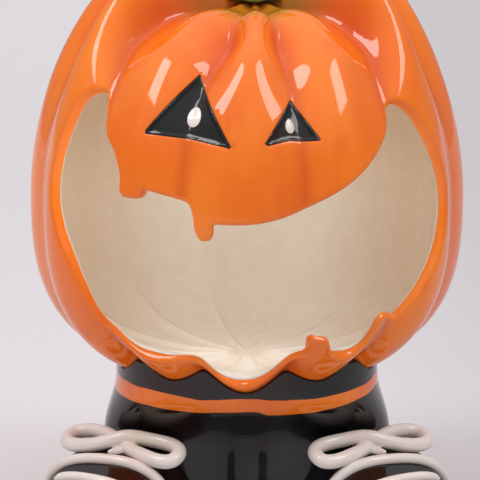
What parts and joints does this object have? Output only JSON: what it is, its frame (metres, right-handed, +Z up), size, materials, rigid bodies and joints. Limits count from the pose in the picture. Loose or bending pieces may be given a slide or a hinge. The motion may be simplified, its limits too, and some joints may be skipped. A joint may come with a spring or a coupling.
{
  "type": "pumpkin figure bowl",
  "caption": "Glazed ceramic figure: a ribbed pumpkin head with a huge open mouth as a treat bowl, on short trousers and big laced boots.",
  "frame": {"origin": "centre of the footprint, on the surface that the soles stand on", "axes": "+Z up, -Y is the figure's front with the face and toes, +X to the viewer's right"},
  "size_m": [0.2417, 0.2251, 0.342],
  "materials": {
    "orange_glaze": "glossy",
    "cream_glaze": "glossy",
    "green_glaze": "glossy",
    "black_glaze": "glossy",
    "white_glaze": "glossy"
  },
  "bodies": {
    "root": {"pumpkin_shell": "orange_glaze", "bowl_lining": "cream_glaze", "stem": "green_glaze", "left_eye": "black_glaze", "left_pupil": "white_glaze", "right_eye": "black_glaze", "right_pupil": "white_glaze", "trousers": "black_glaze", "waistband": "orange_glaze", "left_boot": "black_glaze", "left_sole": "black_glaze", "left_lace_top": "white_glaze", "left_lace_middle": "white_glaze", "left_lace_lower": "white_glaze", "left_bow": "white_glaze", "right_boot": "black_glaze", "right_sole": "black_glaze", "right_lace_top": "white_glaze", "right_lace_middle": "white_glaze", "right_lace_lower": "white_glaze", "right_bow": "white_glaze"}
  },
  "joints": []
}
